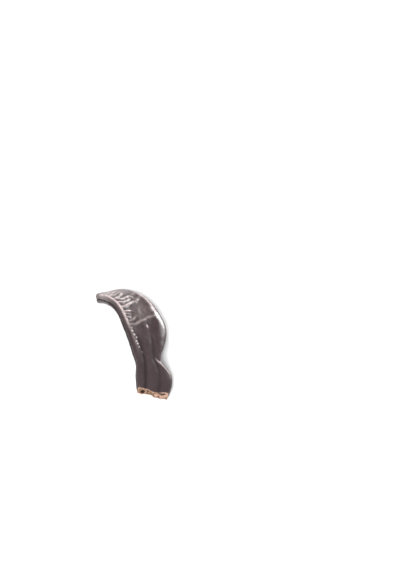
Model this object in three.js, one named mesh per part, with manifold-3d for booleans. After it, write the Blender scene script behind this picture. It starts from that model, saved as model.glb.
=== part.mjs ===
// A ripe carob pod, dried hard and snapped across near one end.
//
// The pod is one grown piece: a long, flat, leathery body between two thick cords (the
// margins), curved in its own plane, arched along its length and twisted towards the tip.
// It is swept here as a boxy section along a steered centre line, closed by a rounded tip
// knob at one end and by a ragged break with two open seed chambers at the other, and then
// laid on a table, where it rests on the knob, the dorsal margin and the broken end.
//
// Millimetres, +Z up, table at z = 0, centre of the footprint at x = y = 0.
import * as THREE from 'three';
import { mergeVertices } from 'three/addons/utils/BufferGeometryUtils.js';
import Module from 'manifold-3d';

// ---- driving dimensions ---------------------------------------------------------------

const LENGTH = 109;            // along the centre line, from the break to the tip
const THICKNESS = 8;           // through the margins, over most of the length
const BOXINESS = 4.5;          // power of the section's outline: 2 is an ellipse, 10 a box

// Each list gives [fraction of the length, value], from the break (0) to the tip (1).
// The direction of the centre line, in degrees: heading turns it in plan, pitch arches it
// up and down, and roll twists the flat faces round it.
const HEADING = [[0, -10], [0.15, 5], [0.3, 11], [0.45, 19], [0.6, 26], [0.75, 44], [0.9, 64], [1, 52]];
const PITCH = [[0, 20], [0.5, 12], [1, -39]];
const ROLL = [[0, -10], [0.5, -10], [1, -29]];

// Half widths in mm from the centre line to the ventral (inner) and dorsal (outer) margin.
// The dorsal side is pinched in where the pod grew no seed, a quarter of the way up.
const VENTRAL = [[0, 11.6], [0.04, 13.3], [0.1, 14], [0.2, 13.4], [0.3, 14.8], [0.42, 15.8],
  [0.55, 15.8], [0.7, 14.8], [0.82, 12.7], [0.92, 7.8], [0.965, 5.8], [1, 5.8]];
const DORSAL = [[0, 11], [0.04, 12.4], [0.1, 11.8], [0.2, 5.3], [0.3, 9.3], [0.42, 14.9],
  [0.55, 15.1], [0.7, 14.3], [0.8, 13], [0.88, 8.6], [0.93, 3.8], [0.965, 2.6], [1, 2.8]];
// Thickness as a share of THICKNESS: the cords swell towards the tip and end in its knob.
const FULLNESS = [[0, 1], [0.5, 1], [0.7, 1.1], [0.85, 1.12], [0.93, 0.94], [0.965, 1], [1, 1]];

const FURROW = { depth: 1.1, width: 0.2, height: -0.12 };       // along the ventral margin
const DORSAL_SEAM = { depth: 0.5, width: 0.22, height: 0.05 };  // along the dorsal margin

// The face between the margins sinks a little; near the break two grooves mark its edges.
const PANEL_DROP = 0.55;
const GROOVE = { depth: 0.8, width: 1.5, fadeFrom: 0.34, fadeTo: 0.46 };
const VENTRAL_GROOVE = [[0, -6.3], [0.065, -7.5], [0.22, -8.1], [0.37, -9.6], [0.5, -10]];
const DORSAL_GROOVE = [[0, 3.6], [0.07, 2.7], [0.13, 2], [0.2, -0.3], [0.3, 0], [0.5, 1.5]];

// Drying wrinkles cross the upper half of the face, starting at the ventral margin.
const WRINKLE = { height: 0.4, spacing: 4.6, from: 0.5, full: 0.68, reach: 16 };

const TIP_ROUND = 4.2;                      // length of the rounded end of the tip knob

// The break runs past the start of the centre line, further on the back than on the front.
// Its rim is uneven and the flesh inside it sinks a little.
const BREAK = { forward: 2.2, slant: 2, ragged: 0.6, hollow: 1.2, stretch: 7 };

// Seed chambers opened by the break: place across and above the centre line, and size.
const CHAMBERS = [
  { across: -8.2, up: -0.8, halfWidth: 1.6, halfHeight: 1.2, reach: 9 },
  { across: 4.4, up: 1.6, halfWidth: 2.5, halfHeight: 1, reach: 10 },
];

// How the pod settles on a table, and how much of each touching spot is worn flat.
const LEAN_SIDE = 12.5;        // degrees about Y
const LEAN_FORWARD = -12.9;    // degrees about X
const WORN_FLAT = 0.25;

const STATIONS = 84;           // sections along the pod
const SIDES = 44;              // points round each section
const TIP_RINGS = 5;
const BREAK_RINGS = 5;

// ---- small helpers --------------------------------------------------------------------

const rad = THREE.MathUtils.degToRad;
const smooth = THREE.MathUtils.smoothstep;
const bell = (distance, width) => Math.exp(-((distance / width) ** 2));

// A smooth curve through knots [place, value]: a cubic between each two of them.
function through(knots, t) {
  const last = knots.length - 1;
  const slope = (i) => {
    const before = knots[Math.max(i - 1, 0)];
    const after = knots[Math.min(i + 1, last)];
    return (after[1] - before[1]) / (after[0] - before[0]);
  };
  const place = THREE.MathUtils.clamp(t, knots[0][0], knots[last][0]);
  const next = knots.findIndex((knot) => knot[0] >= place);
  const i = Math.max(next - 1, 0);
  const [x0, y0] = knots[i];
  const [x1, y1] = knots[i + 1];
  const h = x1 - x0;
  const u = (place - x0) / h;
  const rise = u * u * (3 - 2 * u);
  return y0 * (1 - rise) + y1 * rise
    + h * u * (1 - u) * ((1 - u) * slope(i) - u * slope(i + 1));
}

// ---- the centre line ------------------------------------------------------------------

// Directions at fraction t: along the pod, across it (towards the dorsal margin) and out
// of its front face.
function directions(t) {
  const heading = rad(through(HEADING, t));
  const pitch = rad(through(PITCH, t));
  const along = new THREE.Vector3(
    -Math.sin(heading) * Math.cos(pitch),
    Math.cos(heading) * Math.cos(pitch),
    Math.sin(pitch),
  );
  const across = new THREE.Vector3(Math.cos(heading), Math.sin(heading), 0);
  across.applyAxisAngle(along, -rad(through(ROLL, t)));
  const outward = new THREE.Vector3().crossVectors(across, along);
  return { along, across, outward };
}

// The centre line is walked in short steps, and any point on it is read between two.
const STEPS = 400;
const walked = [new THREE.Vector3()];
for (let i = 0; i < STEPS; i += 1) {
  const { along } = directions((i + 0.5) / STEPS);
  walked.push(walked[i].clone().addScaledVector(along, LENGTH / STEPS));
}

function centre(t) {
  const place = THREE.MathUtils.clamp(t, 0, 1) * STEPS;
  const i = Math.min(Math.floor(place), STEPS - 1);
  return walked[i].clone().lerp(walked[i + 1], place - i);
}

// ---- the section ----------------------------------------------------------------------

// How far the face sinks at x mm across: the panel between the cords, the two grooves.
function faceSink(t, x) {
  const side = x < 0 ? through(VENTRAL, t) : through(DORSAL, t);
  const panel = 1 - smooth(Math.abs(x) / side, 0.45, 0.8);
  const grooves = bell(x - through(VENTRAL_GROOVE, t), GROOVE.width)
    + bell(x - through(DORSAL_GROOVE, t), GROOVE.width);
  return PANEL_DROP * panel * (1 - smooth(t, 0.85, 0.95))
    + GROOVE.depth * grooves * (1 - smooth(t, GROOVE.fadeFrom, GROOVE.fadeTo));
}

// Uneven cross ridges on the front face, highest beside the ventral margin.
function wrinkle(t, x) {
  const mm = t * LENGTH;
  const wave = Math.sin((2 * Math.PI * mm) / WRINKLE.spacing + 1.4 * Math.sin(mm / 5) + x / 9);
  const start = smooth(t, WRINKLE.from, WRINKLE.full) * (1 - smooth(t, 0.88, 0.94));
  const inwards = x + through(VENTRAL, t);
  const reach = smooth(inwards, 0.5, 3) * (1 - smooth(inwards, 3, WRINKLE.reach));
  return WRINKLE.height * wave * start * reach;
}

// A point of the section at fraction t and angle a round it: 0 on the dorsal margin, a
// quarter turn on the front face, a half turn on the ventral margin.
function sectionPoint(t, a) {
  const c = Math.cos(a);
  const s = Math.sin(a);
  const boxed = (Math.abs(c) ** BOXINESS + Math.abs(s) ** BOXINESS) ** (-1 / BOXINESS);
  const half = (THICKNESS / 2) * through(FULLNESS, t);
  let x = boxed * c * (c < 0 ? through(VENTRAL, t) : through(DORSAL, t));
  let y = boxed * s * half;
  const onFace = smooth(Math.abs(s) * boxed, 0.55, 0.95);
  y -= Math.sign(s) * onFace * faceSink(t, x);
  if (s > 0) y += onFace * wrinkle(t, x);
  const seam = c < 0 ? FURROW : DORSAL_SEAM;
  const onMargin = smooth(Math.abs(c) * boxed, 0.6, 0.95);
  const open = 1 - 0.6 * smooth(t, 0.94, 0.985);
  x -= Math.sign(c) * onMargin * open * seam.depth * bell(y / half - seam.height, seam.width);
  return { x, y };
}

function placed(t, x, y, shift = 0) {
  const { along, across, outward } = directions(t);
  return centre(t)
    .addScaledVector(across, x)
    .addScaledVector(outward, y)
    .addScaledVector(along, shift);
}

// ---- the closed skin ------------------------------------------------------------------

function ring(t, size, shiftAt = () => 0) {
  const points = [];
  for (let k = 0; k < SIDES; k += 1) {
    const a = (2 * Math.PI * k) / SIDES;
    const { x, y } = sectionPoint(t, a);
    points.push(placed(t, size * x, size * y, shiftAt(a)));
  }
  return points;
}

// How far the break lies along the pod, at angle a round it and at a share of the way from
// its middle (0) to its rim (1).
function breakShift(a, share) {
  const plane = -BREAK.forward - (BREAK.slant / 2) * (1 - share * Math.sin(a));
  const rim = BREAK.ragged * (Math.sin(3 * a + 1) + 0.6 * Math.sin(7 * a + 2));
  return plane + share * rim + BREAK.hollow * (1 - share ** 2);
}

function skinGeometry() {
  const rings = [];
  for (let k = 1; k <= BREAK_RINGS; k += 1) {
    const size = k / (BREAK_RINGS + 1);
    rings.push(ring(0, size, (a) => breakShift(a, size)));
  }
  const bodyEnd = 1 - TIP_ROUND / LENGTH;
  for (let i = 0; i < STATIONS; i += 1) {
    const t = (bodyEnd * i) / (STATIONS - 1);
    const pulled = 1 - smooth(t * LENGTH, 0, BREAK.stretch);
    rings.push(ring(t, 1, (a) => pulled * breakShift(a, 1)));
  }
  for (let i = 1; i < TIP_RINGS; i += 1) {
    const a = (Math.PI / 2) * (i / TIP_RINGS);
    rings.push(ring(bodyEnd + (1 - bodyEnd) * Math.sin(a), Math.cos(a)));
  }

  const points = rings.flat();
  const first = points.push(placed(0, 0, 0, breakShift(0, 0))) - 1;
  const last = points.push(centre(1)) - 1;
  const faces = [];
  const at = (row, k) => row * SIDES + (k % SIDES);
  for (let row = 0; row < rings.length - 1; row += 1) {
    for (let k = 0; k < SIDES; k += 1) {
      faces.push(at(row, k), at(row + 1, k), at(row, k + 1));
      faces.push(at(row, k + 1), at(row + 1, k), at(row + 1, k + 1));
    }
  }
  for (let k = 0; k < SIDES; k += 1) {
    faces.push(first, at(0, k), at(0, k + 1));
    faces.push(last, at(rings.length - 1, k + 1), at(rings.length - 1, k));
  }
  const geometry = new THREE.BufferGeometry().setFromPoints(points);
  geometry.setIndex(faces);
  return geometry;
}

// A seed chamber: a long egg shape lying along the pod, opened by the break.
function chamberGeometry({ across, up, halfWidth, halfHeight, reach }) {
  const egg = new THREE.SphereGeometry(1, 16, 12);
  const here = directions(0);
  const axes = new THREE.Matrix4().makeBasis(
    here.across.clone().multiplyScalar(halfWidth),
    here.outward.clone().multiplyScalar(halfHeight),
    here.along.clone().multiplyScalar(-reach),
  );
  axes.setPosition(placed(0, across, up, 0));
  return egg.applyMatrix4(axes);
}

// ---- laying it down -------------------------------------------------------------------

const settle = new THREE.Matrix4().makeRotationX(rad(LEAN_FORWARD))
  .multiply(new THREE.Matrix4().makeRotationY(rad(LEAN_SIDE)));

// Move settled pieces together so that the pod stands on the table, centred on it, with
// its lowest spots pressed just under the table top.
function onTable(skin, others) {
  skin.computeBoundingBox();
  const { min, max } = skin.boundingBox;
  const shift = [-(min.x + max.x) / 2, -(min.y + max.y) / 2, -min.z - WORN_FLAT];
  [skin, ...others].forEach((geometry) => geometry.translate(...shift));
}

// ---- joining and cutting --------------------------------------------------------------

const wasm = await Module();
wasm.setup();

function toSolid(geometry) {
  const bare = geometry.clone();
  bare.deleteAttribute('normal');
  bare.deleteAttribute('uv');
  const merged = mergeVertices(bare, 1e-5);
  const vertProperties = new Float32Array(merged.attributes.position.array);
  const triVerts = new Uint32Array(merged.index.array);
  return new wasm.Manifold(new wasm.Mesh({ numProp: 3, vertProperties, triVerts }));
}

function toGeometry(solid) {
  const { vertProperties, triVerts } = solid.getMesh();
  const geometry = new THREE.BufferGeometry();
  geometry.setAttribute('position', new THREE.BufferAttribute(vertProperties, 3));
  geometry.setIndex(new THREE.BufferAttribute(triVerts, 1));
  geometry.computeVertexNormals();
  return geometry;
}

function podGeometry() {
  const skin = skinGeometry().applyMatrix4(settle);
  const chambers = CHAMBERS.map((chamber) => chamberGeometry(chamber).applyMatrix4(settle));
  onTable(skin, chambers);
  const under = new THREE.BoxGeometry(3 * LENGTH, 3 * LENGTH, LENGTH).translate(0, 0, -LENGTH / 2);
  const cutters = [...chambers, under].map(toSolid);
  return toGeometry(cutters.reduce((solid, cutter) => solid.subtract(cutter), toSolid(skin)));
}

// ---- the scene graph ------------------------------------------------------------------

const driedSkin = new THREE.MeshStandardMaterial({ color: 0x594b4b, roughness: 0.5, metalness: 0 });

const pod = new THREE.Mesh(podGeometry(), driedSkin);
pod.name = 'pod';

const carob = new THREE.Group();
carob.add(pod);

export default carob;
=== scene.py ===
# %% [markdown]
# # A dried carob pod, snapped across at one end
#
# The real thing is one grown piece, about a hand's breadth long: a flat, leathery pod
# between two thick cords, curved in its plane, arched and twisted as it dried. One end is
# its natural tip, a small knob. The other end was broken off, which opened two seed
# chambers. This notebook builds the fine surface of that pod around the plain solid that
# the frame holds, and gives it its dry, dark, slightly shiny skin.

# %% The frame, and the box that the plain solid fills
import math

import bpy
import numpy as np
from mathutils import Matrix, Vector


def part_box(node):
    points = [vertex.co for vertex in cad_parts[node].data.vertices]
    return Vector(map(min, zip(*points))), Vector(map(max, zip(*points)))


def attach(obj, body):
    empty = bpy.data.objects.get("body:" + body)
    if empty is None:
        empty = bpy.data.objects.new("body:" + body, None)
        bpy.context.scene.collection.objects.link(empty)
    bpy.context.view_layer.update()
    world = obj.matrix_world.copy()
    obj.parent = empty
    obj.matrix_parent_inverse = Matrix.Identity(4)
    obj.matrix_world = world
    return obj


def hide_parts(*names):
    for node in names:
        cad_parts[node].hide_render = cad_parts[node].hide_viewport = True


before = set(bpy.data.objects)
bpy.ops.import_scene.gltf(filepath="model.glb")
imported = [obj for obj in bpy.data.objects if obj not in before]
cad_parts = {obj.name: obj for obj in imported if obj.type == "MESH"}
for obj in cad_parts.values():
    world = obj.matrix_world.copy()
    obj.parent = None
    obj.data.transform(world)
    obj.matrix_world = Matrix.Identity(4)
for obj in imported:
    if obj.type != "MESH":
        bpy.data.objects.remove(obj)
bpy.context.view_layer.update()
pod_low, pod_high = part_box("pod")
MM = 0.001
print("plain solid, mm:", [round((b - a) / MM, 1) for a, b in zip(pod_low, pod_high)])

# %% [markdown]
# ## The camera
#
# The pod is seen from its broken end, from well above. The camera is also rolled about its
# own axis, because the pod leaned sideways on its neighbours when it was seen this way, and
# here it lies on a flat table. The aim is a point on the table, past the pod's far side, so
# the pod sits in the lower left of the view.

# %% Camera
CAMERA_AIM = (0.0518, 0.0446, 0.0)
CAMERA_DISTANCE = 1.1854
CAMERA_TURN = math.radians(12.66)
CAMERA_ELEVATION = math.radians(56.03)
CAMERA_ROLL = math.radians(19.49)
CAMERA_LENS = 100
SENSOR_WIDTH = 36
FARTHEST_SEEN = 20


def away_from_pod(turn, elevation):
    """The unit vector from the pod towards a place that is turn to the right of straight
    in front and elevation above the table, both in radians."""
    level = math.cos(elevation)
    return Vector((math.sin(turn) * level, -math.cos(turn) * level, math.sin(elevation)))


def camera_axes(turn, elevation, roll):
    """Right, up and backward directions of a camera that looks at the pod from turn and
    elevation, and is rolled clockwise by roll."""
    back = away_from_pod(turn, elevation)
    level = Vector((math.cos(turn), math.sin(turn), 0))
    upright = back.cross(level)
    right = level * math.cos(roll) - upright * math.sin(roll)
    return right, back.cross(right), back


right, up, back = camera_axes(CAMERA_TURN, CAMERA_ELEVATION, CAMERA_ROLL)
camera = bpy.data.objects.new("camera", bpy.data.cameras.new("camera"))
camera.data.lens = CAMERA_LENS
camera.data.sensor_width = SENSOR_WIDTH
camera.data.clip_end = FARTHEST_SEEN
stand = Matrix.Translation(Vector(CAMERA_AIM) + back * CAMERA_DISTANCE)
camera.matrix_world = stand @ Matrix((right, up, back)).transposed().to_4x4()
bpy.context.scene.collection.objects.link(camera)
bpy.context.scene.camera = camera
print("camera stands at", [round(v, 3) for v in camera.matrix_world.translation])

# %% [markdown]
# ## Smooth curves and angles
#
# Everything that changes along the pod is given by a few knots: a fraction of the length
# and a value. A cubic joins each two of them, so the pod swells and bends without corners.


# %% Curves through knots
def through(knots, t):
    """A smooth curve through [place, value] knots. Between two knots it is the cubic that
    meets each with the slope of the chord between that knot's own neighbours."""
    x, y = np.array(knots, float).T
    slope = (np.append(y[1:], y[-1]) - np.append(y[0], y[:-1])) / (
        np.append(x[1:], x[-1]) - np.append(x[0], x[:-1])
    )
    t = np.clip(t, x[0], x[-1])
    i = np.clip(np.searchsorted(x, t) - 1, 0, len(x) - 2)
    h = x[i + 1] - x[i]
    u = (t - x[i]) / h
    rise = u * u * (3 - 2 * u)
    bend = h * u * (1 - u) * ((1 - u) * slope[i] - u * slope[i + 1])
    return y[i] * (1 - rise) + y[i + 1] * rise + bend


def smooth(x, low, high):
    """0 below low, 1 above high, and an S-shaped step between them."""
    u = np.clip((x - low) / (high - low), 0, 1)
    return u * u * (3 - 2 * u)


def bell(distance, width):
    """A round bump, 1 at distance 0 and nearly 0 past two widths."""
    return np.exp(-((distance / width) ** 2))


# %% [markdown]
# ## The centre line
#
# The line down the middle of the pod is steered, like a road: heading turns it in plan,
# pitch arches it and roll twists the flat faces round it. All three are the plain solid's.

# %% Centre line and its directions, in mm and degrees
LENGTH = 109.0
HEADING = [[0, -10], [0.15, 5], [0.3, 11], [0.45, 19], [0.6, 26], [0.75, 44], [0.9, 64], [1, 52]]
PITCH = [[0, 20], [0.5, 12], [1, -39]]
ROLL = [[0, -10], [0.5, -10], [1, -29]]
STEPS = 400


def directions(t):
    """Unit vectors along the pod, across it towards the dorsal margin, and out of its
    front face, for an array of fractions t."""
    heading, pitch, roll = (np.radians(through(k, t)) for k in (HEADING, PITCH, ROLL))
    along = np.stack(
        [-np.sin(heading) * np.cos(pitch), np.cos(heading) * np.cos(pitch), np.sin(pitch)], -1
    )
    level = np.stack([np.cos(heading), np.sin(heading), 0 * heading], -1)
    facing = np.cross(level, along)
    across = np.cos(roll)[..., None] * level + np.sin(roll)[..., None] * facing
    return along, across, np.cross(across, along)


middle_of_steps, _, _ = directions((np.arange(STEPS) + 0.5) / STEPS)
walked = np.vstack([np.zeros(3), np.cumsum(middle_of_steps * LENGTH / STEPS, axis=0)])


def centre(t):
    """Points on the centre line: the walked steps, with a straight line between two."""
    place = np.clip(t, 0, 1) * STEPS
    return np.stack([np.interp(place, np.arange(STEPS + 1), walked[:, k]) for k in range(3)], -1)


print("straight from break to tip, mm:", round(float(np.linalg.norm(walked[-1])), 1))

# %% [markdown]
# ## The section
#
# Cut anywhere, the pod is a rounded box about 30 mm wide and 8 mm thick. Its narrow sides
# are the two margins: the ventral one carries a deep furrow, where the pod would split, and
# the dorsal one a shallow seam. Between the cords the faces sink, and near the break two
# grooves run along the sunken panel.

# %% Section widths and features, all lengths in mm
HALF_THICKNESS = 4.0
BOXINESS = 4.5
CORNER_ROUNDING = [[0, 0.3], [0.28, 0.3], [0.38, 1.6], [0.76, 1.6], [0.88, 0.6], [1, 0]]
VENTRAL = [[0, 11.6], [0.04, 13.3], [0.1, 14], [0.2, 13.4], [0.3, 14.8], [0.42, 15.8],
           [0.55, 15.8], [0.7, 14.8], [0.82, 12.7], [0.92, 7.8], [0.965, 5.8], [1, 5.8]]
DORSAL = [[0, 11], [0.04, 12.4], [0.1, 11.8], [0.2, 5.3], [0.3, 9.3], [0.42, 14.9],
          [0.55, 15.1], [0.7, 14.3], [0.8, 13], [0.88, 8.6], [0.93, 3.8], [0.965, 2.6], [1, 2.8]]
FULLNESS = [[0, 1], [0.5, 1], [0.7, 1.1], [0.85, 1.12], [0.93, 0.94], [0.965, 1], [1, 1]]
VENTRAL_GROOVE = [[0, -6.3], [0.065, -7.5], [0.22, -8.1], [0.37, -9.6], [0.5, -10]]
DORSAL_GROOVE = [[0, 3.6], [0.07, 2.7], [0.13, 2], [0.2, -0.3], [0.3, 0], [0.5, 1.5]]
GROOVE_DEPTH = 0.32
GROOVE_WIDTH = 1.5
GROOVES_END = (0.34, 0.46)
PANEL_DROP = 0.55
VENTRAL_PANEL_EDGE = 0.8
DORSAL_PANEL_EDGE = 0.64
PANEL_SLOPE = 0.35
PANEL_END = (0.85, 0.95)
FURROW_DEPTH = 1.5
SECOND_FURROW_DEPTH = 0.35
SEAM_DEPTH = 0.5


def section(t, a):
    """Across (x) and outward (y) of the skin at fraction t and angle a: a superellipse of
    power BOXINESS, pulled in along both seams and sunk between the cords. Also gives how
    deep each point lies in a furrow or groove, 0 to 1."""
    c, s = np.cos(a), np.sin(a)
    power = BOXINESS - ((c > 0) & (s > 0)) * through(CORNER_ROUNDING, t)
    boxed = (np.abs(c) ** power + np.abs(s) ** power) ** (-1 / power)
    side = np.where(c < 0, through(VENTRAL, t), through(DORSAL, t))
    half = HALF_THICKNESS * through(FULLNESS, t)
    x, y = boxed * c * side, boxed * s * half
    level = y / half
    on_face = smooth(np.abs(s) * boxed, 0.55, 0.95)
    on_margin = smooth(np.abs(c) * boxed, 0.6, 0.95)

    edge = np.where(c < 0, VENTRAL_PANEL_EDGE, DORSAL_PANEL_EDGE)
    panel = 1 - smooth(np.abs(x) / side, edge - PANEL_SLOPE, edge)
    panel = panel * (1 - smooth(t, *PANEL_END))
    grooved = 1 - smooth(t, *GROOVES_END)
    ventral_groove = bell(x - through(VENTRAL_GROOVE, t), GROOVE_WIDTH) * grooved
    dorsal_groove = bell(x - through(DORSAL_GROOVE, t), GROOVE_WIDTH) * grooved
    sunk = PANEL_DROP * panel + GROOVE_DEPTH * (ventral_groove + dorsal_groove)
    y = y - np.sign(s) * on_face * sunk

    ventral = (c < 0) * on_margin * (1 - 0.75 * smooth(t, 0.94, 0.985))
    dorsal = (c > 0) * on_margin
    furrow = ventral * bell(level + 0.12, 0.17)
    second = ventral * bell(level - 0.38, 0.08)
    seam = dorsal * bell(level - 0.05, 0.2)
    pulled_in = FURROW_DEPTH * furrow + SECOND_FURROW_DEPTH * second + SEAM_DEPTH * seam
    x = x - np.sign(c) * pulled_in
    in_groove = on_face * (0.8 * ventral_groove + 0.45 * dorsal_groove)
    # The skin is painted darker by this depth, as painted shade in furrows and grooves.
    hollow = np.clip(furrow + 0.7 * second + 0.5 * seam + in_groove, 0, 1)
    return x, y, hollow


# %% [markdown]
# ## The grid
#
# One grid covers the whole pod. Its columns run round the section. Its rows start in the
# middle of the torn face, spread to the torn rim, walk along the skin and close over the
# tip knob, so the mesh is one closed surface with a single point at each end. The columns
# stand closer together on the two faces, which carry the fine wrinkles, than on the
# margins.

# %% Rows and columns
AROUND = 224
FACE_CROWDING = 2.2
TORN_ROWS = 44
SKIN_ROWS = 330
TIP_ROWS = 14
TIP_ROUND = 4.2

body_end = 1 - TIP_ROUND / LENGTH
tip_turn = np.linspace(0, np.pi / 2, TIP_ROWS + 1)[1:-1]
tip_t = body_end + (1 - body_end) * np.sin(tip_turn)
torn_share = np.arange(1, TORN_ROWS + 1) / (TORN_ROWS + 1)
row_t = np.concatenate([np.zeros(TORN_ROWS), np.linspace(0, body_end, SKIN_ROWS), tip_t])
row_share = np.concatenate([torn_share, np.ones(SKIN_ROWS), np.cos(tip_turn)])
even = 2 * np.pi * np.arange(AROUND) / AROUND
column_angle = np.arctan2(FACE_CROWDING * np.sin(even), np.cos(even)) % (2 * np.pi)
t, angle = np.meshgrid(row_t, column_angle, indexing="ij")
share = np.broadcast_to(row_share[:, None], t.shape)
is_torn = (np.arange(len(row_t)) < TORN_ROWS)[:, None] & np.ones(t.shape, bool)
along_mm = t * LENGTH
x, y, hollow = section(t, angle)
x, y = x * share, y * share
front = smooth(np.sin(angle), 0.05, 0.35)
rear = smooth(-np.sin(angle), 0.05, 0.35)
print("grid rows and columns:", t.shape, "points:", t.size)

# %% [markdown]
# ## The break
#
# The pod snapped across, so the end is not a clean cut: the break runs further on the back
# than on the front, the leathery skin frays at the rim, and the flesh between is fibrous.
# Two seed chambers were opened, a round one by the ventral margin and a flat slit under the
# front skin by the dorsal one, each with a lip of torn lining. Between them are a small
# crevice and a tongue of flesh that stands out. All of it is a shift of the torn rows along
# the pod, in mm.

# %% Shape of the break
BREAK = {"forward": 2.2, "slant": 2.0, "ragged": 0.6, "hollow": 1.2, "stretch": 7.0}
CHAMBERS = [
    {"across": -7.8, "up": -0.7, "half_width": 1.6, "half_height": 1.5, "wedge": 0.0,
     "reach": 9.0, "lip": 0.7},
    {"across": 4.7, "up": 1.5, "half_width": 3.5, "half_height": 1.6, "wedge": 0.42,
     "reach": 10.0, "lip": 0.8},
    {"across": -4.0, "up": 1.0, "half_width": 0.7, "half_height": 0.9, "wedge": 0.0,
     "reach": 2.5, "lip": 0.2},
]
# Where a chamber's painted shade ends and where its lip stands, as shares of its half width.
DARK_PIT_RING = 1.27
LIP_RING = 1.42
LIP_WIDTH = 0.22
TONGUE = {"across": -1.0, "half_width": 2.7, "reach": 1.4}
# Each flap of torn lining: its place across and up, its width and its rise.
FLAPS = [([6.2, -2.3], 1.3, 1.6), ([2.4, -1.6], 1.6, 0.7), ([-4.8, 1.2], 1.0, 0.8)]
RIM_RADIUS = 9
SEED = 11
random = np.random.default_rng(SEED)


def waves(x, y, length, count=9):
    """An uneven field of bumps about `length` across: the mean of a few sine waves in
    seeded directions, with lengths around the one asked for."""
    total = 0
    for _ in range(count):
        turn, phase = random.uniform(0, 2 * np.pi, 2)
        k = 2 * np.pi / (length * random.uniform(0.75, 1.35))
        total = total + np.sin(k * (x * np.cos(turn) + y * np.sin(turn)) + phase)
    return total / math.sqrt(count)


def break_shift(a, share):
    """How far the break lies along the pod at angle a and a share of the way from its
    middle to its rim: a slanted plane, an uneven rim, and flesh that sinks inside it."""
    plane = -BREAK["forward"] - BREAK["slant"] / 2 * (1 - share * np.sin(a))
    rim = BREAK["ragged"] * (np.sin(3 * a + 1) + 0.6 * np.sin(7 * a + 2))
    return plane + share * rim + BREAK["hollow"] * (1 - share**2)


rim_mm = np.stack([np.cos(angle), np.sin(angle)]) * RIM_RADIUS
fray = 0.3 * waves(*rim_mm, 3.4) + 0.16 * waves(*rim_mm, 1.3)
pull = np.where(is_torn, 1, 1 - smooth(along_mm, 0, BREAK["stretch"]))
fray_pull = np.where(is_torn, smooth(share, 0.75, 1), 1 - smooth(along_mm, 0, 1.8))
tongue = TONGUE["reach"] * bell(x - TONGUE["across"], TONGUE["half_width"]) * smooth(y, -1, 2.5)
shift = pull * (break_shift(angle, share) - tongue) + fray_pull * fray

pit = np.zeros_like(x)
lip = np.zeros_like(x)
flesh_rise = np.zeros_like(x)
for chamber in CHAMBERS:
    sideways_in = (x - chamber["across"]) / chamber["half_width"]
    wedged = 1 + chamber["wedge"] * np.clip(sideways_in, -1, 1)
    ring = np.hypot(sideways_in, (y - chamber["up"]) / (chamber["half_height"] * wedged))
    inside = np.sqrt(np.clip(1 - ring**2, 0, 1))
    shift = shift + is_torn * chamber["reach"] * inside
    # Inside this ring the chamber is painted dark, as painted shade in its depth.
    pit = np.maximum(pit, is_torn * smooth(DARK_PIT_RING - ring, 0, 0.14))
    edge = is_torn * bell(ring - LIP_RING, LIP_WIDTH) * wedged
    edge = edge * (1 - 0.85 * smooth(y - chamber["up"], 0, chamber["half_height"]))
    lip = np.maximum(lip, edge)
    flesh_rise = flesh_rise + chamber["lip"] * edge
for (flap_across, flap_up), width, rise in FLAPS:
    flap = is_torn * bell(np.hypot(x - flap_across, 1.3 * (y - flap_up)), width)
    flesh_rise = flesh_rise + rise * flap
    lip = np.maximum(lip, smooth(flap, 0.35, 0.75))
flesh = is_torn * (1 - pit)
shift = shift + flesh * (0.2 * waves(x, y, 1.1) + 0.12 * waves(x, y, 0.6) - flesh_rise)
print("break reaches", round(float(-shift.min()), 1), "mm past the start of the centre line")

# %% [markdown]
# ## Wrinkles, ridges and flecks
#
# As the pod dried its skin shrank on to the stiff ventral cord. Cross wrinkles start at
# that cord and fade across the face, most of them between the middle and the tip. Each one
# is a path of [mm along, mm across]; the skin rises along the path and dips beside it. The
# crests are paler, partly from wear and partly as painted highlight. Along the outer
# shoulder a painted highlight runs as a pale line, and the skin is not raised there.


# %% Creases along paths
def rounded(path, legs=9):
    """The same path with its corners rounded, as short straight legs."""
    corners = np.array(path, float)
    walked = np.append(0, np.cumsum(np.hypot(*np.diff(corners, axis=0).T)))
    fine = np.linspace(0, walked[-1], legs + 1)
    return np.stack([through(np.stack([walked, corners[:, k]], -1), fine) for k in (0, 1)], -1)


def near_path(path, along, across):
    """Distance to a path of [mm along, mm across] with its corners rounded, and how far
    along the path, in mm, the nearest point lies, with the path's whole length."""
    path = rounded(path)
    best, place, walked = np.full(along.shape, 1e9), np.zeros(along.shape), 0.0
    for start, end in zip(path[:-1], path[1:]):
        leg = end - start
        length = float(np.hypot(*leg))
        u = np.clip(((along - start[0]) * leg[0] + (across - start[1]) * leg[1]) / length**2, 0, 1)
        distance = np.hypot(along - start[0] - u * leg[0], across - start[1] - u * leg[1])
        closer = distance < best
        best = np.where(closer, distance, best)
        place = np.where(closer, walked + u * length, place)
        walked += length
    return best, place, walked


def crease(path, width, head=0.0, tail=4.0):
    """The pale crest, partly wear and partly painted highlight, and the height of a raised
    fold: a narrow bell on a wide one, with a dip on either side, growing in over the first
    `head` mm and fading over the last `tail`."""
    distance, place, whole = near_path(path, along_mm, x)
    fade = smooth(place, -1, head) * (1 - smooth(place, whole - tail, whole + 0.5))
    profile = 0.5 * bell(distance, 0.8 * width) + 0.6 * bell(distance, 1.6 * width)
    profile = profile - 0.45 * bell(distance, 2.8 * width)
    return fade * bell(distance, 0.9 * width), fade * profile


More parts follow.
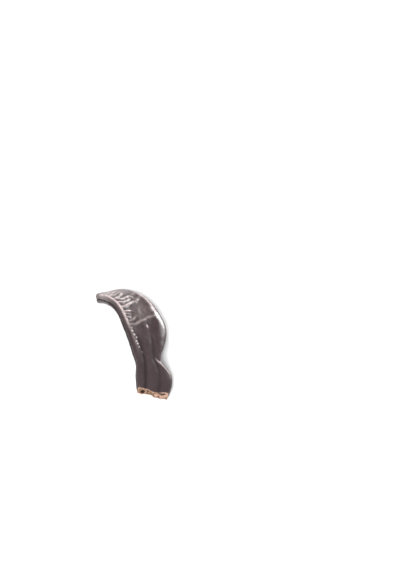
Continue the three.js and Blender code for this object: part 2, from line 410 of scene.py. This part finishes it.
# Each crease of the front: its path, its width and its rise.
FRONT_CREASES = [
    ([[97.5, -5], [97.8, -1], [97, 1.5]], 0.7, 0.3),
    ([[95, -7], [95.6, -2], [94.8, 2.5]], 0.8, 0.4),
    ([[92.3, -9], [93.8, -4.5], [94.6, 1], [93.9, 4]], 0.8, 0.45),
    ([[87.6, -11.2], [89.5, -7.1], [91.7, -1.7], [91.9, 3]], 0.9, 0.65),
    ([[86.2, -9.6], [87.3, -5.1], [88.2, -1.7], [89.1, 2]], 0.8, 0.55),
    ([[81.6, -11.4], [82.8, -6.3], [84.1, -3], [86.9, 0.8]], 0.9, 0.85),
    ([[81.2, -11.2], [79, -7], [79.2, -2.5], [79.7, 0.7], [77.7, 1.9], [75.5, 2.4]], 0.9, 0.75),
    ([[76.1, -12], [74.6, -9.8], [75.2, -6.7], [75.8, -3.5], [77.8, 0.4]], 0.9, 0.85),
    ([[69.9, -12.4], [70.1, -10.6], [71, -7.7], [72, -4.3], [72.9, -0.8], [72.3, 0.8],
      [70, 1.6]], 1.0, 0.8),
    ([[73.6, 2.6], [75.2, 7.3], [76.3, 10.4]], 1.1, 0.35),
    ([[80.2, 5], [81.6, 9]], 1.0, 0.3),
    ([[65, -12.9], [65, -7.9], [64.6, -5]], 0.9, 0.7),
    ([[63.1, -12.9], [62.4, -11.2], [61.7, -8.6]], 0.7, 0.5),
    ([[59.9, -12.9], [59.6, -11], [57.6, -9.8]], 0.7, 0.5),
    ([[56.2, -12.1], [56.7, -8.4], [58.3, -6.4], [60.4, -4]], 0.9, 0.35),
    ([[52.9, -13], [53.2, -11], [52, -9.4], [52.6, -7.6], [54.5, -3.7], [54.8, -1.2],
      [56.1, 2.4], [57, 7], [57, 10]], 1.1, 0.3),
]
PALEST_CREST_RISE = 0.7
SHOULDER_HIGHLIGHT_PATH = [[83, 8.7], [79, 9.9], [74, 10.8], [68, 11.2], [60, 11.3], [50, 11.2]]
SHOULDER_FOLD = [[24, 0.3], [22, 1.3], [19.4, 3.5], [15.3, 6.8], [11.1, 10.2], [7.5, 11.2]]
SHOULDER_FOLD_RISE = 0.42
uneven = np.clip(0.85 + 0.4 * waves(along_mm, x, 5), 0.25, 1.25)
height = np.zeros_like(x)
crest_wear_and_highlight = np.zeros_like(x)
for path, width, rise in FRONT_CREASES:
    top, profile = crease(path, width)
    height = height + front * rise * uneven * profile
    paled_crest = front * top * min(1, rise / PALEST_CREST_RISE) * np.clip(uneven, 0, 1)
    crest_wear_and_highlight = np.maximum(crest_wear_and_highlight, 0.85 * paled_crest)
top, profile = crease(SHOULDER_FOLD, 0.5, head=5.0, tail=6.0)
height = height + SHOULDER_FOLD_RISE * front * profile
crest_wear_and_highlight = np.maximum(crest_wear_and_highlight, 0.7 * front * top)
# Painted highlight: a pale line down the outer shoulder, with no rise under it.
shoulder_highlight, _ = crease(SHOULDER_HIGHLIGHT_PATH, 1.1, head=6.0, tail=10.0)
crest_wear_and_highlight = np.maximum(crest_wear_and_highlight, 0.8 * front * shoulder_highlight)
dips = front * smooth(-height, 0.02, 0.18)
print("front creases:", len(FRONT_CREASES), "highest, mm:", round(float(height.max()), 2))

# %% [markdown]
# The front corner of the ventral cord is a sharp ridge from the waist to the tip. Nearer the
# break a chain of small hard beads runs beside it, where the seeds were tied, and one pale
# fleck lies on the face. The back gets wrinkles of the same kind in seeded places.

# %% Ridge, beads, fleck and the wrinkles of the back
RIDGE = [[0.15, -10.6], [0.25, -11.2], [0.45, -13.2], [0.6, -13.5], [0.72, -13.1],
         [0.79, -12.3], [0.845, -10.5], [0.9, -7.8], [0.94, -5.6]]
RIDGE_WIDTH = 0.65
RIDGE_RISE = 0.5
from_ridge = x - through(RIDGE, t)
# Painted shade in the dips beside the creases, near the ridge.
hollow = np.maximum(hollow, 0.8 * dips * smooth(from_ridge, 0.4, 1.4))
ridge = front * bell(from_ridge, RIDGE_WIDTH)
ridge = ridge * smooth(t, 0.2, 0.45) * (1 - smooth(t, 0.9, 0.95))
height = height + RIDGE_RISE * ridge
# Painted highlight: the ridge's crest is paled, most towards the tip.
crest_wear_and_highlight = np.maximum(crest_wear_and_highlight, ridge * (0.3 + 0.7 * smooth(along_mm, 48, 60)))

BEADS = [[50, -12], [47, -12.4], [43.4, -11.8], [41, -10.6], [37.8, -11.4], [35.6, -10.9],
         [32.8, -10.2], [28.5, -8.6]]
BEAD_RISE = 0.28
for along, across in BEADS:
    bead = front * bell(np.hypot((along_mm - along) / 1.5, x - across), 0.6)
    height = height + BEAD_RISE * bead
    # The beads' tops are paled with the crests, partly as painted highlight.
    crest_wear_and_highlight = np.maximum(crest_wear_and_highlight, 0.6 * bead)
FLECK = [49.3, 0.1]
FLECK_RISE = 0.12
fleck = front * bell(np.hypot((along_mm - FLECK[0]) / 2.6, x - FLECK[1]), 0.5)
height = height + FLECK_RISE * fleck
crest_wear_and_highlight = np.maximum(crest_wear_and_highlight, 0.9 * fleck)

BACK_CREASES = 15
for _ in range(BACK_CREASES):
    start = random.uniform(48, 96)
    inner = -0.83 * float(through(VENTRAL, start / LENGTH))
    reach = random.uniform(5, 15)
    halfway = [start + random.uniform(-2, 2), inner + reach / 2]
    path = [[start, inner], halfway, [start + random.uniform(-3, 3), inner + reach]]
    top, profile = crease(path, random.uniform(0.6, 1))
    height = height + rear * random.uniform(0.25, 0.55) * profile
    crest_wear_and_highlight = np.maximum(crest_wear_and_highlight, 0.2 * rear * top)
print("with the back's, highest, mm:", round(float(height.max()), 2))

# %% Slow dents and fine ripples of dry leather
around_mm = x + 2.5 * y
ripples = 0.09 * waves(along_mm / 2, around_mm, 9) + 0.03 * waves(along_mm / 1.6, around_mm, 3.2)
ripples = ripples + 0.012 * waves(along_mm, around_mm, 1.3, 14)
height = (height + ripples * smooth(along_mm, 0, 3)) * ~is_torn
print("ripples, mm:", round(float(np.abs(ripples).max()), 2))

# %% [markdown]
# ## From the grid to a mesh
#
# The fine heights are added along the normals of the plain swept surface. Then the pod is
# leaned as it settles on a table, moved to the place of the plain solid, and worn flat
# where it touches.

# %% Points in space
LEAN_SIDE = math.radians(12.5)
LEAN_FORWARD = math.radians(-12.9)
WORN_FLAT = 0.25
A_SKIN_ROW = 100

forward, sideways, outward = directions(t)
plain = centre(t) + x[..., None] * sideways + y[..., None] * outward + shift[..., None] * forward
rows_way = np.gradient(plain, axis=0)
columns_way = np.roll(plain, -1, axis=1) - np.roll(plain, 1, axis=1)
normal = np.cross(rows_way, columns_way)
normal /= np.linalg.norm(normal, axis=-1, keepdims=True) + 1e-12
# Outwards or inwards, as one row of the skin shows: away from the centre line is outwards.
from_centre = plain[A_SKIN_ROW] - centre(t[A_SKIN_ROW])
normal *= np.sign(np.sum(normal[A_SKIN_ROW] * from_centre))
settle = np.array(Matrix.Rotation(LEAN_FORWARD, 3, "X") @ Matrix.Rotation(LEAN_SIDE, 3, "Y"))
plain_laid, laid = plain @ settle.T, (plain + height[..., None] * normal) @ settle.T
first_tip = centre(0.0) + break_shift(0, 0) * directions(np.array(0.0))[0]
poles = np.stack([first_tip, centre(1.0)]) @ settle.T

low, high = plain_laid.min((0, 1)), plain_laid.max((0, 1))
middle = [(pod_low[k] + pod_high[k]) / 2 / MM - (low[k] + high[k]) / 2 for k in (0, 1)]
to_table = np.array([*middle, pod_low[2] / MM - low[2] - WORN_FLAT])
laid = laid + to_table
poles = poles + to_table
laid[..., 2] = np.maximum(laid[..., 2], pod_low[2] / MM)
print("visual box, mm:", np.round(laid.max((0, 1)) - laid.min((0, 1)), 1))

# %% The mesh
grid_points = laid.reshape(-1, 3)
rows, columns = t.shape
index = np.arange(rows * columns).reshape(rows, columns)
beside = np.roll(index, -1, axis=1)
quads = np.stack([index[:-1], index[1:], beside[1:], beside[:-1]], axis=-1).reshape(-1, 4)
first_pole, last_pole = rows * columns, rows * columns + 1
first_fan = np.stack([np.full(columns, first_pole), index[0], beside[0]], axis=-1)
last_fan = np.stack([np.full(columns, last_pole), beside[-1], index[-1]], axis=-1)

mesh = bpy.data.meshes.new("pod_skin")
faces = quads.tolist() + first_fan.tolist() + last_fan.tolist()
mesh.from_pydata(np.vstack([grid_points, poles]) * MM, [], faces)
mesh.update()
mesh.shade_smooth()
pod_skin = bpy.data.objects.new("pod_skin", mesh)
bpy.context.scene.collection.objects.link(pod_skin)


def of_faces(name, size):
    """The number, or the vector of `size` numbers, that each face of the mesh has."""
    values = np.empty(len(mesh.polygons) * size, np.float32)
    mesh.polygons.foreach_get(name, values)
    return values.reshape(-1, size).astype(float)


volume = np.sum(of_faces("area", 1) * of_faces("normal", 3) * of_faces("center", 3)) / 3
print("faces:", len(mesh.polygons), "volume, cm3:", round(float(volume) * 1e6, 1))


# %% What the skin's finish needs to know at each point
def mark(name, values, pole_values=(0.0, 0.0)):
    """Stores one number for each point of the mesh, for the material to read."""
    layer = mesh.attributes.new(name, "FLOAT", "POINT")
    layer.data.foreach_set("value", np.append(np.ravel(values), pole_values).astype(np.float32))


past_rim = along_mm + 0.9 * fray
rim = np.where(is_torn, smooth(share, 0.93, 0.98), 1 - smooth(past_rim, 0.05, 0.5))
mark("torn", np.where(is_torn, 1.0, 1 - smooth(past_rim, 0.25, 0.6)), (1.0, 0.0))
mark("rim", np.maximum(rim, lip))
mark("pit", pit)
# Where furrows, grooves and crease dips get painted shade.
mark("hollow", hollow * ~is_torn)
# Where the front is paled towards the tip, as painted light.
mark("tip", smooth(along_mm, 68, 100) * smooth(np.sin(angle), -0.4, 0.2), (0.0, 0.5))
# Painted shade: the half towards the break is darkened; it is also duller there.
mark("duller_with_painted_shade", 1 - smooth(along_mm, 30, 58))
mark("crest_wear_and_highlight", crest_wear_and_highlight * ~is_torn)
mark("shrunk", front * (1 - smooth(x, 1, 8)) * smooth(along_mm, 44, 58))
straight = np.vstack(
    [np.stack([x, y, along_mm], axis=-1).reshape(-1, 3), [[0, 0, 0], [0, 0, LENGTH]]]
)
layer = mesh.attributes.new("straight", "FLOAT_VECTOR", "POINT")
layer.data.foreach_set("vector", straight.astype(np.float32).ravel())
print("marks:", [a.name for a in mesh.attributes if not a.name.startswith(".")])

# %% [markdown]
# ## Writing materials as expressions
#
# A material is a graph of nodes. Wiring it by hand hides the arithmetic, so one small class
# stands for an output socket and turns sums, products and a number minus a wire into Math
# nodes, and another makes every other node.


# %% Wires and finishes
class Wire:
    """An output socket. Arithmetic on wires and numbers adds Math nodes."""

    def __init__(self, finish, socket):
        self.finish = finish
        self.socket = socket

    def maths(self, operation, first, second):
        return self.finish.node("ShaderNodeMath", {"operation": operation}, {0: first, 1: second})

    def __add__(self, other):
        return self.maths("ADD", self, other)

    def __rsub__(self, other):
        return self.maths("SUBTRACT", other, self)

    def __mul__(self, other):
        return self.maths("MULTIPLY", self, other)

    __radd__ = __add__
    __rmul__ = __mul__


class Finish:
    """A material in the making."""

    def __init__(self, name):
        self.material = bpy.data.materials.new(name)
        self.material.use_nodes = True
        self.tree = self.material.node_tree
        self.tree.nodes.clear()

    def node(self, kind, settings=None, inputs=None, output=0):
        """Adds a node: its settings first, then a value or a wire for each input named or
        numbered, and gives back the output asked for."""
        node = self.tree.nodes.new(kind)
        for name, value in (settings or {}).items():
            setattr(node, name, value)
        for name, value in (inputs or {}).items():
            if isinstance(value, Wire):
                self.tree.links.new(value.socket, node.inputs[name])
            else:
                node.inputs[name].default_value = value
        return Wire(self, node.outputs[output])

    def mix(self, factor, first, second):
        """A colour between two colours. The colour sockets of the Mix node share their
        names with others, so they go by number."""
        sockets = {0: factor, 6: first, 7: second}
        return self.node("ShaderNodeMix", {"data_type": "RGBA"}, sockets, 2)

    def step(self, value, low, high):
        """0 below low, 1 above high, smooth between."""
        settings = {"interpolation_type": "SMOOTHSTEP"}
        sockets = {"Value": value, "From Min": low, "From Max": high}
        return self.node("ShaderNodeMapRange", settings, sockets)

    def noise(self, vector, scale, detail=2.0, roughness=0.5):
        """Cloudy noise between 0 and 1, about 0.5."""
        sockets = {"Vector": vector, "Scale": scale, "Detail": detail, "Roughness": roughness}
        return self.node("ShaderNodeTexNoise", {}, sockets)

    def mark(self, name, output="Fac"):
        """A number stored on the mesh, or a vector if the output is Vector."""
        return self.node("ShaderNodeAttribute", {"attribute_name": name}, {}, output)

    def surface(self, shader):
        """The material, with this shader as its surface."""
        end = self.tree.nodes.new("ShaderNodeOutputMaterial")
        self.tree.links.new(shader.socket, end.inputs["Surface"])
        return self.material


def colour(red, green, blue):
    """A linear colour from the usual 0 to 255 numbers."""
    values = np.array([red, green, blue]) / 255
    linear = np.where(values <= 0.04045, values / 12.92, ((values + 0.055) / 1.055) ** 2.4)
    return (*linear.tolist(), 1.0)


print("a mid grey of 128 is", round(colour(128, 128, 128)[0], 3), "in linear light")

# %% [markdown]
# ## The skin and the torn flesh
#
# Dry carob skin is a dark brown grey with a touch of plum, like old leather. It is satin,
# not glossy: light slides along the cords and the wrinkles. The crests are paler, partly
# from wear and partly as painted highlight, the front towards the tip is paled as painted
# light, and painted shade darkens the furrows and the half towards the break. Inside, the
# flesh is tan and fibrous, paler and pinker where it tore at the rim, and the seed chambers
# are painted dark brown, as painted shade in their depth. One material does both, because
# on the real pod one runs into the other: the marks stored on the mesh say where.

# %% Pod material
SKIN_DARK = colour(50, 38, 40)
SKIN_MID = colour(72, 58, 59)
SKIN_PALE = colour(150, 132, 131)
SKIN_WORN_AND_HIGHLIT = colour(200, 183, 181)
SKIN_PAINTED_SHADE = colour(30, 22, 23)
FLESH = colour(122, 93, 74)
FLESH_GREEN = colour(102, 82, 60)
TORN_EDGE = colour(182, 148, 131)
CHAMBER_PAINTED_SHADE = colour(44, 24, 14)

pod_finish = Finish("carob_skin")
place = pod_finish.node("ShaderNodeTexCoord", {}, {}, "Object")
unrolled = pod_finish.mark("straight", "Vector")
DRAWN_OUT = (1.0, 1.0, 0.09)
lengthwise = pod_finish.node(
    "ShaderNodeVectorMath", {"operation": "MULTIPLY"}, {0: unrolled, 1: DRAWN_OUT}
)
torn, rim_mark, pit_painted_shade = (pod_finish.mark(name) for name in ("torn", "rim", "pit"))
hollow_shade_mark, crest_wear_and_highlight_mark = (pod_finish.mark(name) for name in ("hollow", "crest_wear_and_highlight"))
shrunk, duller_with_painted_shade, tip = (pod_finish.mark(name) for name in ("shrunk", "duller_with_painted_shade", "tip"))

clouds = pod_finish.noise(place, 70.0, 4.0, 0.6)
grain = pod_finish.noise(lengthwise, 1.1, 3.0, 0.6)
patches = pod_finish.noise(place, 330.0, 3.0, 0.6)
specks = pod_finish.noise(place, 900.0, 3.0, 0.6)
pores = pod_finish.noise(place, 2600.0, 2.0, 0.5)
fibres = pod_finish.noise(place, 1500.0, 4.0, 0.7)

skin = pod_finish.mix(pod_finish.step(clouds + 0.5 * grain, 0.55, 0.95), SKIN_DARK, SKIN_MID)
skin = pod_finish.mix(pod_finish.step(specks, 0.58, 0.8) * 0.35, skin, SKIN_PALE)
# Painted shade: the half towards the break is darkened.
skin = pod_finish.mix(duller_with_painted_shade * 0.75, skin, SKIN_DARK)
# Painted light: the front is paled towards the tip.
skin = pod_finish.mix(tip * 0.25, skin, SKIN_PALE)
patchy_crest_paling = crest_wear_and_highlight_mark * pod_finish.step(patches, 0.35, 0.65)
# Crests paled: partly real wear, partly painted highlight.
skin = pod_finish.mix(0.6 * crest_wear_and_highlight_mark + 0.4 * patchy_crest_paling, skin, SKIN_WORN_AND_HIGHLIT)
# Painted shade: furrows, grooves and crease dips are darkened.
skin = pod_finish.mix(hollow_shade_mark * 0.95, skin, SKIN_PAINTED_SHADE)
flesh_colour = pod_finish.mix(pod_finish.step(fibres, 0.35, 0.65), FLESH_GREEN, FLESH)
torn_rim = rim_mark * pod_finish.step(specks, 0.25, 0.5)
flesh_colour = pod_finish.mix(torn_rim, flesh_colour, TORN_EDGE)
# Painted shade: the deep chambers are painted dark brown.
flesh_colour = pod_finish.mix(pit_painted_shade, flesh_colour, CHAMBER_PAINTED_SHADE)
base_colour = pod_finish.mix(torn, skin, flesh_colour)

roughness = (
    0.18 + 0.1 * clouds + 0.06 * specks + 0.12 * duller_with_painted_shade * (1 - hollow_shade_mark)
    + 0.12 * shrunk + 0.5 * torn
)
BUMP_STRENGTH = 0.35
BUMP_HEIGHT = 0.2 * MM
relief = 0.25 * grain + 0.3 * patches + 0.3 * specks + 0.25 * pores + 0.6 * fibres * torn
bump = pod_finish.node(
    "ShaderNodeBump", {}, {"Strength": BUMP_STRENGTH, "Distance": BUMP_HEIGHT, "Height": relief}
)
shader = pod_finish.node(
    "ShaderNodeBsdfPrincipled",
    {},
    {"Base Color": base_colour, "Roughness": roughness, "Normal": bump, "Specular IOR Level": 0.5},
)
mesh.materials.append(pod_finish.surface(shader))
print("nodes in the pod's material:", len(pod_finish.tree.nodes))

# %% Tie the pod to the frame
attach(pod_skin, "root")
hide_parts("pod")

# %% [markdown]
# ## Floor and light
#
# A plain pale floor takes the pod's soft shadow, in an even white room. A large soft box in
# front lights the face evenly. A low one, to the right and behind, draws the bright band on
# the outer shoulder. One behind lights the ridge of the inner cord and the knob, and a weak
# one on the left lifts the shade.

# %% Floor
FLOOR_SIZE = 8.0
FLOOR_WHITE = (0.86, 0.86, 0.86, 1)
half = FLOOR_SIZE / 2
corners = [(-half, -half, 0), (half, -half, 0), (half, half, 0), (-half, half, 0)]
floor_mesh = bpy.data.meshes.new("floor")
floor_mesh.from_pydata(corners, [], [(0, 1, 2, 3)])
floor = bpy.data.objects.new("floor", floor_mesh)
bpy.context.scene.collection.objects.link(floor)
floor_finish = Finish("floor_white")
floor_shader = floor_finish.node(
    "ShaderNodeBsdfPrincipled",
    {},
    {"Base Color": FLOOR_WHITE, "Roughness": 0.6, "Specular IOR Level": 0.2},
)
floor_mesh.materials.append(floor_finish.surface(floor_shader))

# %% Light
ROOM_LIGHT = 0.3
world = bpy.data.worlds.new("room")
world.use_nodes = True
background = world.node_tree.nodes["Background"]
background.inputs["Color"].default_value = (1, 1, 1, 1)
background.inputs["Strength"].default_value = ROOM_LIGHT
bpy.context.scene.world = world
bpy.context.scene.view_settings.view_transform = "Standard"


def soft_box(name, turn, elevation, distance, size, power):
    """A rectangular light, size (wide, high) in metres, that looks at the pod from turn
    degrees to the right of straight in front and elevation degrees up."""
    away = away_from_pod(math.radians(turn), math.radians(elevation))
    light = bpy.data.lights.new(name, "AREA")
    light.shape = "RECTANGLE"
    light.size, light.size_y = size
    light.energy = power
    lamp = bpy.data.objects.new(name, light)
    facing_pod = away.to_track_quat("Z", "Y").to_matrix().to_4x4()
    lamp.matrix_world = Matrix.Translation(away * distance) @ facing_pod
    bpy.context.scene.collection.objects.link(lamp)


soft_box("front", -8, 50, 2.3, (1.5, 1.5), 84)
soft_box("low_right", 136, 7, 2.4, (0.9, 0.5), 54)
soft_box("behind", -172, 24, 2.4, (0.9, 1.1), 38)
soft_box("left", -112, 42, 2.4, (1.0, 1.0), 4)
